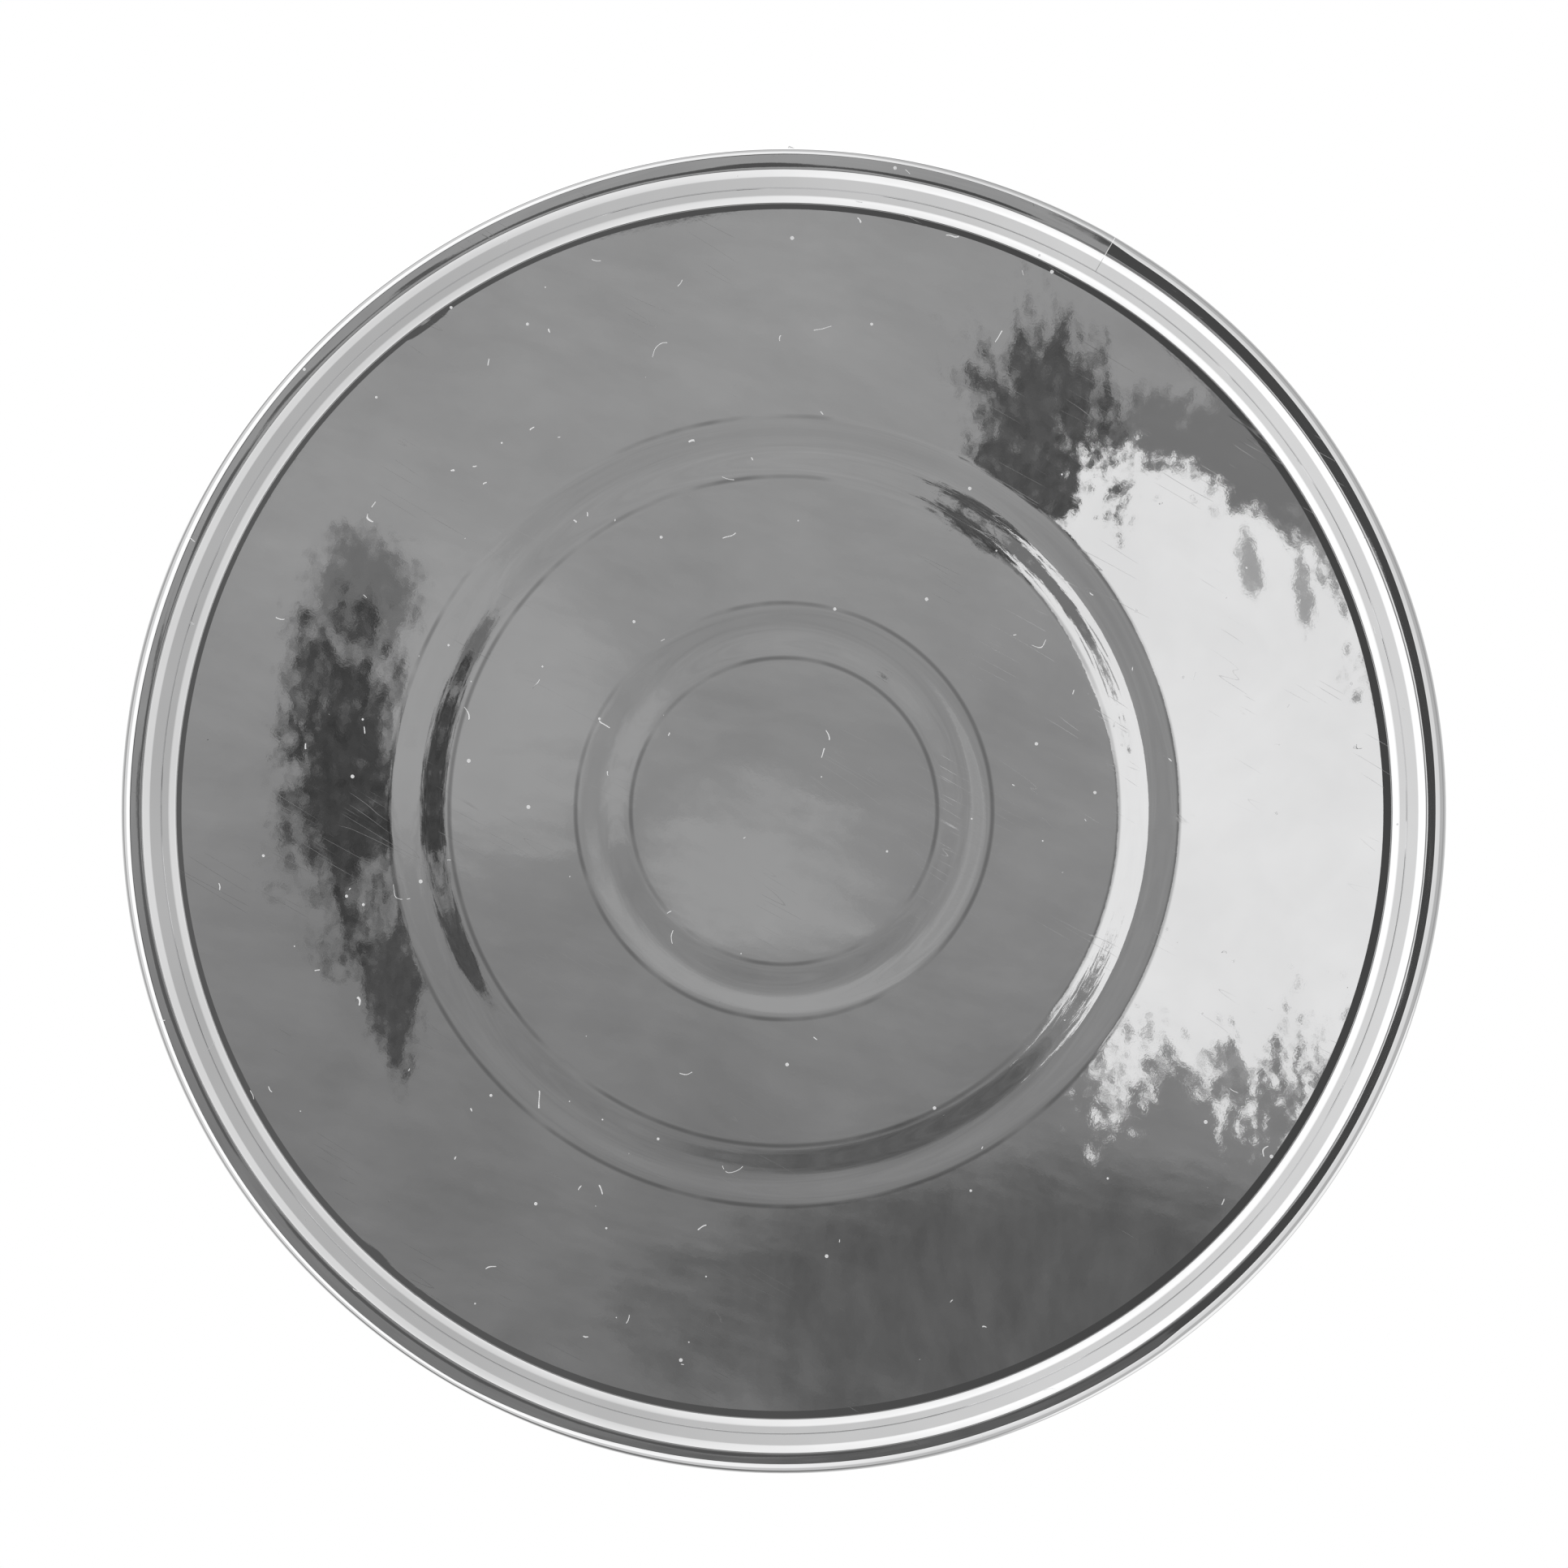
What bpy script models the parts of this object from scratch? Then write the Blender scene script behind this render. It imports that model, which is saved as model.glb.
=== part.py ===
"""Springform pan, 26 cm class: a split, beaded band that a bail clasp closes round a loose base plate.

Units are metres and +Z is up. The origin is the middle of the ring that the pan stands on.
The clasp is at the front, -Y. The band is one springy strip on the real pan; here it is two
halves that turn about an upright line at the back.
"""

import math

import bmesh
import bpy
from mathutils import Matrix, Vector

# Driving dimensions
GAP = 0.0003  # clearance between pieces that touch
RING_STEPS = 72  # facets in a full turn of the pan

WALL_INNER = 0.1318  # inside radius of the band's wall
BAND_SHEET = 0.0005
BEAD_OUTER = 0.1365  # outside radius of the bottom bead
FOOT_INNER, FOOT_OUTER = 0.1324, 0.1345  # flat ring that the pan stands on
NECK_RADIUS, NECK_HEIGHT = 0.0011, 0.0030  # the bead's shoulder, where it turns back to the wall
WALL_START = 0.0082  # height where the bead runs into the straight wall
PAN_HEIGHT = 0.0660
RIM_ROLL = 0.00175  # radius of the rolled rim's sheet, to its middle
SPLIT_GAP = 0.0008  # between the band's two ends at the clasp
BACK_GAP = 0.0004  # between the two halves at the back
BACK_HINGE = 0.1340  # from the pan's axis to the upright line that the halves turn about

BASE_SHEET = 0.0006
DISC_HEIGHT = 0.0053  # height of the base's flat disc, to its middle
DISC_RADIUS = 0.1243
FLANGE_RADIUS = 0.1314
FLANGE_HEIGHT = 0.0034
BASE_SHOULDER = ((0.1258, 0.0052), (0.1266, 0.0050), (0.1274, 0.0046))  # radius and height
BASE_FOOT_RADIUS = 0.1286  # where the base's sloping edge runs out into its flat flange
LIP_RADIUS, LIP_HEIGHT = 0.1291, 0.0026  # the inner end of the band's lip
LIP_SLOPE = ((0.1302, 0.0013), (0.1309, 0.0007), (0.1318, 0.0004))  # radius and height, lip to foot
CHANNELS = ((0.0374, 0.0114), (0.0755, 0.0125))  # middle radius and width of each pressed channel
CHANNEL_DEPTH = 0.0003
CHANNEL_SIDE = 0.2  # each sloping side, as a share of the channel's width

CLASP_HEIGHT = 0.0400  # height of the clasp's middle
CLASP_STEPS = 8  # facets along each curved plate
TONGUE_INNER, TONGUE_SHEET = 0.1326, 0.0004
TONGUE_LOW, TONGUE_HIGH = 0.0100, 0.0600
TONGUE_ENDS = (-0.0340, 0.0055)  # as x at the front
PLATE_SHEET = 0.0008
BRACKET_INNER = 0.1333
BRACKET_ENDS = (-0.0345, -0.0070)
BRACKET_HALF_HEIGHT = 0.0110
CATCH_INNER = 0.1326
CATCH_ENDS = (0.0080, 0.0350)
CATCH_HALF_HEIGHT = 0.0080
HOOK_HALF_HEIGHT = 0.0040

PIVOT_RADIUS_FROM_AXIS = 0.1368  # the lever's pivot, from the pan's axis
PIVOT_X = -0.0120
CRANK = 0.0042  # from the lever's pivot to the bail's bar
CRANK_ANGLE = math.radians(172.0)  # direction from the pivot to the bail's bar, closed
PIN_RADIUS = 0.00125
PIN_HEAD_RADIUS = 0.0021
PIN_HEAD = 0.0007
EAR_INSIDE, EAR_OUTSIDE = 0.0068, 0.0076  # each ear's faces, from the clasp's middle height
EAR_RADIUS = 0.0027
LEVER_INNER, LEVER_OUTER = 0.1390, 0.1397
LEVER_HALF_WIDTH = 0.0065
LEVER_FLANGE = 0.0008
LEVER_FLANGE_DEPTH = 0.1346  # the flanges' inner edge, from the pan's axis
LEVER_LENGTH = 0.0600
LEVER_START = 0.0028  # from the pivot to the near end of the lever's web
LEVER_END_RADIUS = 0.0022  # the flanges' rounded ends, about the pin
LEVER_FLANGE_LENGTH = 0.0430
LEVER_TAPER = ((0.0430, 0.1382), (0.0330, 0.1368), (0.0200, 0.1352))  # distance and inner edge
LEVER_DEEP_TO = 0.0085  # the flanges keep their full depth this far from the pivot
LEVER_FLICK, LEVER_FLICK_RISE = 0.0115, 0.0026  # the tip's outward curl: its length and height
BAIL_WIRE = 0.0011  # radius
BAIL_HALF_HEIGHT = 0.0102
BAIL_CORNER = 0.0026
BAR_RADIUS_FROM_AXIS = 0.1348  # the bail's far bar, closed, from the pan's axis
BAR_X = 0.0145
HOOK_FACE = 0.0030  # from the bar's middle to the hook's upright face, closed
HOOK_OUTER = 0.1404
HOOK_BEND = 0.0009
HOOK_TIP = ((0.0004, 0.0), (0.0014, -0.0003))  # its tip, across the bar and down from its top
RIVET_SHANK = 0.0012
RIVET_HEAD_RADIUS = 0.0021
RIVET_HEAD = 0.0009
BRACKET_RIVETS = ((-0.0300, 0.0088), (-0.0300, -0.0088), (-0.0230, 0.0088), (-0.0230, -0.0088))
CATCH_RIVETS = ((0.0225, 0.0050), (0.0225, -0.0050), (0.0300, 0.0050), (0.0300, -0.0050))

FRONT = math.radians(-90.0)


def clear_scene():
    for obj in list(bpy.data.objects):
        bpy.data.objects.remove(obj, do_unlink=True)


def metal(name, grey, roughness):
    """A plain metal finish."""
    made = bpy.data.materials.new(name)
    made.use_nodes = True
    shader = made.node_tree.nodes["Principled BSDF"]
    shader.inputs["Base Color"].default_value = (grey, grey, grey * 1.01, 1.0)
    shader.inputs["Metallic"].default_value = 1.0
    shader.inputs["Roughness"].default_value = roughness
    return made


def finished(bm, name, material):
    """Closes the bmesh into an object with its faces outward and its curved faces smooth."""
    bmesh.ops.remove_doubles(bm, verts=bm.verts, dist=1e-6)
    bmesh.ops.recalc_face_normals(bm, faces=bm.faces)
    mesh = bpy.data.meshes.new(name)
    bm.to_mesh(mesh)
    bm.free()
    mesh.shade_smooth()
    mesh.set_sharp_from_angle(angle=math.radians(35.0))
    mesh.materials.append(material)
    obj = bpy.data.objects.new(name, mesh)
    bpy.context.scene.collection.objects.link(obj)
    return obj


def place_origin(obj, point):
    """Moves the object's origin to a point without moving its shape."""
    obj.data.transform(Matrix.Translation(-Vector(point)))
    obj.location = point


def arc(centre, radius, start_deg, stop_deg, steps):
    """Points along an arc, both ends included."""
    points = []
    for i in range(steps + 1):
        angle = math.radians(start_deg + (stop_deg - start_deg) * i / steps)
        points.append((centre[0] + radius * math.cos(angle), centre[1] + radius * math.sin(angle)))
    return points


def offset_path(path, distance):
    """The path moved sideways, to its left for a positive distance, with mitred corners."""
    points = [Vector(p) for p in path]
    sides = []
    for a, b in zip(points, points[1:]):
        along = (b - a).normalized()
        sides.append(Vector((-along.y, along.x)))
    moved = [points[0] + sides[0] * distance]
    for i in range(1, len(points) - 1):
        both = (sides[i - 1] + sides[i]).normalized()
        moved.append(points[i] + both * (distance / both.dot(sides[i])))
    moved.append(points[-1] + sides[-1] * distance)
    return [tuple(p) for p in moved]


def sheet_outline(path, thickness):
    """The closed outline of a sheet that follows a path."""
    return offset_path(path, thickness / 2) + offset_path(path, -thickness / 2)[::-1]


def turned(name, outline, material, start=0.0, sweep=2 * math.pi, steps=RING_STEPS):
    """A closed (radius, height) outline turned about the pan's axis, capped if it isn't a full turn."""
    bm = bmesh.new()
    full = abs(sweep - 2 * math.pi) < 1e-9
    turn = Matrix.Rotation(start, 4, "Z")
    verts = [bm.verts.new(turn @ Vector((r, 0.0, z))) for r, z in outline]
    # A side that lies on the axis is left out, because it sweeps no face.
    edges = []
    for i, vert in enumerate(verts):
        after = (i + 1) % len(verts)
        if outline[i][0] > 1e-9 or outline[after][0] > 1e-9:
            edges.append(bm.edges.new((vert, verts[after])))
    if not full:
        bm.faces.new(verts)
    done = bmesh.ops.spin(
        bm, geom=verts + edges, axis=(0, 0, 1), cent=(0, 0, 0), angle=sweep, steps=steps
    )
    if not full:
        last = [g for g in done["geom_last"] if isinstance(g, bmesh.types.BMEdge)]
        bmesh.ops.contextual_create(bm, geom=last)
    return finished(bm, name, material)


def extruded(name, outline, low, high, material):
    """A closed XY outline extruded from one height to another."""
    bm = bmesh.new()
    face = bm.faces.new([bm.verts.new((x, y, low)) for x, y in outline])
    grown = bmesh.ops.extrude_face_region(bm, geom=[face])
    tops = [g for g in grown["geom"] if isinstance(g, bmesh.types.BMVert)]
    bmesh.ops.translate(bm, verts=tops, vec=(0, 0, high - low))
    return finished(bm, name, material)


def cylinder(name, start, stop, radius, material, sides=12):
    """A capped cylinder between two points."""
    start, stop = Vector(start), Vector(stop)
    bm = bmesh.new()
    bmesh.ops.create_cone(
        bm, cap_ends=True, segments=sides, radius1=radius, radius2=radius, depth=(stop - start).length
    )
    turn = (stop - start).to_track_quat("Z", "Y").to_matrix().to_4x4()
    bmesh.ops.transform(bm, verts=bm.verts, matrix=Matrix.Translation((start + stop) / 2) @ turn)
    return finished(bm, name, material)


def combine(obj, tool, operation):
    """Adds a Boolean with a hidden tool object."""
    tool.hide_render = True
    tool.display_type = "WIRE"
    tool.parent = obj
    tool.matrix_parent_inverse = obj.matrix_world.inverted()
    boolean = obj.modifiers.new(tool.name, "BOOLEAN")
    boolean.operation = operation
    boolean.solver = "EXACT"
    boolean.object = tool


def on_circle(radius, x, z=0.0):
    """The point at the front of a circle about the pan's axis, at a given x."""
    return Vector((x, -math.sqrt(radius**2 - x**2), z))


def azimuth(radius, x):
    """The azimuth of on_circle's point."""
    return FRONT + math.asin(x / radius)


def curved_plate(name, inner, sheet, ends, low, high, material):
    """A plate that follows the wall between two x positions at the front."""
    start, stop = azimuth(inner, ends[0]), azimuth(inner, ends[1])
    outline = [(inner, low), (inner + sheet, low), (inner + sheet, high), (inner, high)]
    return turned(name, outline, material, start, stop - start, CLASP_STEPS)


# The band
def band_path():
    """The band's sheet from its inner lip, under the bead, up the wall and round the rim wire."""
    half = BAND_SHEET / 2
    wall = WALL_INNER + half
    outer = BEAD_OUTER - half
    roll_height = PAN_HEIGHT - half - RIM_ROLL
    bead_radius = outer - FOOT_OUTER
    path = [(LIP_RADIUS, LIP_HEIGHT), *LIP_SLOPE, (FOOT_INNER, half)]
    path += arc((FOOT_OUTER, half + bead_radius), bead_radius, -90, 0, 4)
    path += arc((outer - NECK_RADIUS, NECK_HEIGHT), NECK_RADIUS, 20, 62, 2)
    path += [(wall + 0.0006, WALL_START - 0.0015), (wall, WALL_START)]
    path += arc((wall + RIM_ROLL, roll_height), RIM_ROLL, 180, -140, 10)
    return path


def band_half(name, start, stop, material):
    outline = sheet_outline(band_path(), BAND_SHEET)
    return turned(name, outline, material, start, stop - start, RING_STEPS // 2)


def rim_wire(name, start, stop, material):
    """The wire that the rim is rolled round."""
    half = BAND_SHEET / 2
    centre = (WALL_INNER + half + RIM_ROLL, PAN_HEIGHT - half - RIM_ROLL)
    outline = arc(centre, RIM_ROLL - half - GAP, 0, 360, 8)[:-1]
    return turned(name, outline, material, start, stop - start, RING_STEPS // 2)


# The base
def base_path():
    """The base's sheet from its middle to its flange, which lies on the band's lip."""
    raised = DISC_HEIGHT + CHANNEL_DEPTH
    path = [(0.0, DISC_HEIGHT)]
    for middle, width in CHANNELS:
        slope = width * CHANNEL_SIDE
        path += [
            (middle - width / 2, DISC_HEIGHT),
            (middle - width / 2 + slope, raised),
            (middle + width / 2 - slope, raised),
            (middle + width / 2, DISC_HEIGHT),
        ]
    path += [(DISC_RADIUS, DISC_HEIGHT), *BASE_SHOULDER]
    return path + [(BASE_FOOT_RADIUS, FLANGE_HEIGHT), (FLANGE_RADIUS, FLANGE_HEIGHT)]


def base_plate(material):
    return turned("base_plate", sheet_outline(base_path(), BASE_SHEET), material)


# The clasp
def pivot_point(z=0.0):
    return on_circle(PIVOT_RADIUS_FROM_AXIS, PIVOT_X, z)


def bail_bar_point():
    """The bail's near bar, which turns in the lever."""
    return pivot_point() + CRANK * Vector((math.cos(CRANK_ANGLE), math.sin(CRANK_ANGLE), 0))


def lever_bracket(material):
    """A riveted plate with two ears for the lever's pin."""
    outer = BRACKET_INNER + PLATE_SHEET
    plate = curved_plate(
        "lever_bracket", BRACKET_INNER, PLATE_SHEET, BRACKET_ENDS,
        CLASP_HEIGHT - BRACKET_HALF_HEIGHT, CLASP_HEIGHT + BRACKET_HALF_HEIGHT, material,
    )
    pivot = pivot_point()
    outward = Vector((pivot.x, pivot.y)).normalized()
    across = Vector((-outward.y, outward.x))
    root = outward * (outer - PLATE_SHEET / 2)
    outline = [tuple(root + across * EAR_RADIUS), tuple(root - across * EAR_RADIUS)]
    tip = math.degrees(math.atan2(-across.y, -across.x))
    outline += arc((pivot.x, pivot.y), EAR_RADIUS, tip, tip + 180, 8)
    for side, label in ((1, "upper"), (-1, "lower")):
        near, far = sorted((CLASP_HEIGHT + side * EAR_INSIDE, CLASP_HEIGHT + side * EAR_OUTSIDE))
        combine(plate, extruded(f"ear_{label}", outline, near, far, material), "UNION")
    hole = cylinder(
        "pin_hole", pivot_point(CLASP_HEIGHT - BRACKET_HALF_HEIGHT),
        pivot_point(CLASP_HEIGHT + BRACKET_HALF_HEIGHT), PIN_RADIUS + GAP, material,
    )
    combine(plate, hole, "DIFFERENCE")
    return plate


def pivot_pin(material):
    """The lever's pin, headed above and below the ears."""
    shank = EAR_OUTSIDE + GAP
    top = shank + PIN_HEAD
    side = [(PIN_HEAD_RADIUS, shank), (PIN_HEAD_RADIUS, top - 0.0002), (PIN_HEAD_RADIUS * 0.8, top)]
    upper = [(PIN_RADIUS, shank)] + side + [(0.0, top)]
    outline = [(r, -z) for r, z in upper[::-1]] + upper
    pin = turned("lever_pivot_pin", outline, material, steps=12)
    pin.location = pivot_point(CLASP_HEIGHT)
    return pin


def lever_angle(distance):
    """The azimuth of a place on the lever, a distance along it from its pivot, towards its tip."""
    return azimuth(PIVOT_RADIUS_FROM_AXIS, PIVOT_X) - distance / LEVER_OUTER


def polar(radius, angle):
    return (radius * math.cos(angle), radius * math.sin(angle))


def lever_web_outline():
    """The lever's outer face seen from above: it follows the pan, and its tip flicks outward."""
    middle = (LEVER_INNER + LEVER_OUTER) / 2
    steps = 16
    path = []
    for i in range(steps + 1):
        distance = LEVER_START + (LEVER_LENGTH - LEVER_START) * i / steps
        past = max(0.0, (distance - (LEVER_LENGTH - LEVER_FLICK)) / LEVER_FLICK)
        path.append(polar(middle + LEVER_FLICK_RISE * past**2, lever_angle(distance)))
    return sheet_outline(path, LEVER_OUTER - LEVER_INNER)


def lever_flange_outline():
    """One side flange of the lever, which holds the pin and the bail and tapers towards the tip."""
    pivot, bar = pivot_point(), bail_bar_point()
    web = LEVER_OUTER - 0.0001
    steps = 8
    outline = []
    for i in range(steps + 1):
        distance = LEVER_END_RADIUS + (LEVER_FLANGE_LENGTH - LEVER_END_RADIUS) * i / steps
        outline.append(polar(web, lever_angle(distance)))
    for distance, radius in LEVER_TAPER:
        outline.append(polar(radius, lever_angle(distance)))
    outline.append(polar(LEVER_FLANGE_DEPTH, lever_angle(LEVER_DEEP_TO)))
    outline.append(polar(LEVER_FLANGE_DEPTH, math.atan2(bar.y, bar.x)))
    around = math.degrees(math.atan2(-pivot.y, -pivot.x))
    return outline + arc((pivot.x, pivot.y), LEVER_END_RADIUS, around + 10, around - 175, 8)


def lever(material):
    """The clasp's handle: a channel that turns on the pin and carries the bail."""
    low, high = CLASP_HEIGHT - LEVER_HALF_WIDTH, CLASP_HEIGHT + LEVER_HALF_WIDTH
    handle = extruded("lever", lever_web_outline(), low, high, material)
    for base, label in ((low, "lower"), (high - LEVER_FLANGE, "upper")):
        flange = extruded(
            f"flange_{label}", lever_flange_outline(), base, base + LEVER_FLANGE, material
        )
        combine(handle, flange, "UNION")
    for centre, radius, label in (
        (pivot_point(), PIN_RADIUS, "pin"),
        (bail_bar_point(), BAIL_WIRE, "bail"),
    ):
        start = centre + Vector((0, 0, low - 0.002))
        stop = centre + Vector((0, 0, high + 0.002))
        hole = cylinder(f"lever_{label}_hole", start, stop, radius + GAP, material)
        combine(handle, hole, "DIFFERENCE")
    place_origin(handle, pivot_point(CLASP_HEIGHT))
    for tool in handle.children:
        tool.matrix_parent_inverse = handle.matrix_basis.inverted()
    return handle


def bail(material):
    """A closed loop of wire: its near bar turns in the lever and its far bar lies in the hook."""
    near, far = bail_bar_point(), on_circle(BAR_RADIUS_FROM_AXIS, BAR_X)
    length = (far - near).length
    corners = (
        (BAIL_CORNER, BAIL_HALF_HEIGHT - BAIL_CORNER, 180, 90),
        (length - BAIL_CORNER, BAIL_HALF_HEIGHT - BAIL_CORNER, 90, 0),
        (length - BAIL_CORNER, BAIL_CORNER - BAIL_HALF_HEIGHT, 0, -90),
        (BAIL_CORNER, BAIL_CORNER - BAIL_HALF_HEIGHT, -90, -180),
    )
    points = []
    for x, z, start, stop in corners:
        points += arc((x, z), BAIL_CORNER, start, stop, 4)
    curve = bpy.data.curves.new("bail", "CURVE")
    curve.dimensions = "3D"
    curve.bevel_depth = BAIL_WIRE
    curve.bevel_resolution = 2
    curve.use_fill_caps = True
    spline = curve.splines.new("POLY")
    spline.points.add(len(points) - 1)
    spline.use_cyclic_u = True
    for point, (x, z) in zip(spline.points, points):
        point.co = (x, 0.0, z, 1.0)
    curve.materials.append(material)
    obj = bpy.data.objects.new("bail", curve)
    obj.location = near + Vector((0, 0, CLASP_HEIGHT))
    obj.rotation_euler = (0, 0, math.atan2(far.y - near.y, far.x - near.x))
    bpy.context.scene.collection.objects.link(obj)
    return obj


def hook_outline():
    """The catch's hook seen from above: it stands out from the plate and turns over the bail's bar."""
    bar = on_circle(BAR_RADIUS_FROM_AXIS, BAR_X)
    outward = Vector((bar.x, bar.y)).normalized()
    across = Vector((-outward.y, outward.x))
    upright = HOOK_FACE + PLATE_SHEET / 2
    root = CATCH_INNER + PLATE_SHEET / 2
    top = HOOK_OUTER - PLATE_SHEET / 2
    path = [(-upright, root)] + arc((HOOK_BEND - upright, top - HOOK_BEND), HOOK_BEND, 180, 90, 3)
    path += [(x, top + drop) for x, drop in HOOK_TIP]
    return [tuple(across * x + outward * y) for x, y in sheet_outline(path, PLATE_SHEET)]


def catch(material):
    """A riveted plate with the hook that the bail pulls on."""
    plate = curved_plate(
        "catch", CATCH_INNER, PLATE_SHEET, CATCH_ENDS,
        CLASP_HEIGHT - CATCH_HALF_HEIGHT, CLASP_HEIGHT + CATCH_HALF_HEIGHT, material,
    )
    low, high = CLASP_HEIGHT - HOOK_HALF_HEIGHT, CLASP_HEIGHT + HOOK_HALF_HEIGHT
    combine(plate, extruded("hook", hook_outline(), low, high, material), "UNION")
    return plate


def seam_tongue(material):
    """The strip that closes the split from outside."""
    return curved_plate(
        "seam_tongue", TONGUE_INNER, TONGUE_SHEET, TONGUE_ENDS, TONGUE_LOW, TONGUE_HIGH, material
    )


def rivet(name, x, z, plate_outer, pierced, material):
    """A domed rivet, flush with the wall's inside, and its holes in the sheets it goes through."""
    inside = WALL_INNER + 0.00005
    seat = plate_outer + GAP / 2
    profile = [(0.0, inside), (RIVET_SHANK, inside), (RIVET_SHANK, seat), (RIVET_HEAD_RADIUS, seat)]
    dome = [(RIVET_HEAD_RADIUS * 0.86, seat + RIVET_HEAD * 0.6), (0.0010, seat + RIVET_HEAD)]
    made = turned(name, profile + dome + [(0.0, seat + RIVET_HEAD)], material, steps=12)
    angle = azimuth(plate_outer, x)
    outward = Vector((math.cos(angle), math.sin(angle), 0.0))
    # The profile's height runs along the rivet, so its axis is laid along the outward direction.
    lay = outward.to_track_quat("Z", "Y")
    made.rotation_mode = "QUATERNION"
    made.rotation_quaternion = lay
    made.location = (0.0, 0.0, z)
    for i, sheet in enumerate(pierced):
        start = outward * (WALL_INNER - 0.004) + Vector((0, 0, z))
        stop = outward * (plate_outer + 0.002) + Vector((0, 0, z))
        hole = cylinder(f"{name}_hole_{i}", start, stop, RIVET_SHANK + GAP, material)
        combine(sheet, hole, "DIFFERENCE")
    return made


def hang_on(axis_name, point, pieces):
    """Parents pieces, where they are, to an empty on the axis that they turn about."""
    axis = bpy.data.objects.new(axis_name, None)
    axis.location = point
    bpy.context.scene.collection.objects.link(axis)
    for piece in pieces:
        piece.parent = axis
        piece.matrix_parent_inverse = axis.matrix_basis.inverted()


def build():
    clear_scene()
    tinplate = metal("tinplate", 0.62, 0.12)
    steel = metal("zinc_steel", 0.55, 0.28)
    wire = metal("steel_wire", 0.50, 0.35)

    split = SPLIT_GAP / 2 / WALL_INNER
    back = BACK_GAP / 2 / WALL_INNER
    quarter = math.pi / 2
    base_plate(tinplate)
    left = band_half("band_left", quarter + back, 3 * quarter - split, tinplate)
    right = band_half("band_right", -quarter + split, quarter - back, tinplate)
    rim_wire("rim_wire_left", quarter + back, 3 * quarter - split, wire)
    wire_right = rim_wire("rim_wire_right", -quarter + split, quarter - back, wire)

    tongue = seam_tongue(tinplate)
    bracket = lever_bracket(steel)
    hook = catch(steel)
    pivot_pin(steel)
    lever(steel)
    bail(wire)

    for i, (x, z) in enumerate(BRACKET_RIVETS):
        outer = BRACKET_INNER + PLATE_SHEET
        rivet(f"bracket_rivet_{i + 1}", x, CLASP_HEIGHT + z, outer, (left, tongue, bracket), steel)
    moving = [right, wire_right, hook]
    for i, (x, z) in enumerate(CATCH_RIVETS):
        outer = CATCH_INNER + PLATE_SHEET
        name = f"catch_rivet_{i + 1}"
        moving.append(rivet(name, x, CLASP_HEIGHT + z, outer, (right, hook), steel))
    hang_on("band_spread_axis", (0.0, BACK_HINGE, 0.0), moving)


build()
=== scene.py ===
"""The looks of the springform pan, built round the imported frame."""

import math

import bmesh
import bpy
from mathutils import Matrix, Vector, noise


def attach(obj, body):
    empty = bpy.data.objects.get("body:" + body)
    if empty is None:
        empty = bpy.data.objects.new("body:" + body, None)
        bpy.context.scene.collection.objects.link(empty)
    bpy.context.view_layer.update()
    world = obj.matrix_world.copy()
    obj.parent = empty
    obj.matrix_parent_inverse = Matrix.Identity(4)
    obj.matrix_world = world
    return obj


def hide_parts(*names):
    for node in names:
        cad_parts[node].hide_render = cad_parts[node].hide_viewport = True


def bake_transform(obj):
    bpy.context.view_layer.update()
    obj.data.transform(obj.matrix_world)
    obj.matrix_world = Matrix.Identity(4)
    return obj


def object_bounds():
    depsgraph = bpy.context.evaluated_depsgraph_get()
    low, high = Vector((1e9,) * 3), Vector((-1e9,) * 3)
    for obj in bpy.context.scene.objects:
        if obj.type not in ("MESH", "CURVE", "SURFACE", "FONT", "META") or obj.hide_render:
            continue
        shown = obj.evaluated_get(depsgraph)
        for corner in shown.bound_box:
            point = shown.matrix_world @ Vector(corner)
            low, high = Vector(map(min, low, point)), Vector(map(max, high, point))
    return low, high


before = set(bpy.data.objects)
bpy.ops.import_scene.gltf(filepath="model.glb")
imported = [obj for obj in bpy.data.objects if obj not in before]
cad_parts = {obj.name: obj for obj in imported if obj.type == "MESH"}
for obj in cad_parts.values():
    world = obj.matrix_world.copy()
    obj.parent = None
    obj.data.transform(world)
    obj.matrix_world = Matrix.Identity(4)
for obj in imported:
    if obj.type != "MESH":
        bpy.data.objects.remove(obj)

CAD_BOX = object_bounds()

# The pan's dimensions, in metres, as the frame has them
WALL_INNER, BAND_SHEET = 0.1318, 0.0005
BEAD_OUTER, FOOT_INNER = 0.1365, 0.1324
WALL_START = 0.0082
PAN_HEIGHT = 0.06599  # a hair under the frame's 66 mm, so that the rim stays inside its box
RIM_ROLL, NECK_ROLL = 0.00175, 0.0016
BASE_SHEET, DISC_HEIGHT, DISC_RADIUS = 0.0006, 0.0053, 0.1234
BASE_FOOT_RADIUS, FLANGE_RADIUS = 0.1286, 0.1314
CHANNELS = ((0.0374, 0.0114), (0.0755, 0.0125))  # middle radius and width of each
SPLIT_GAP = 0.00008

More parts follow.
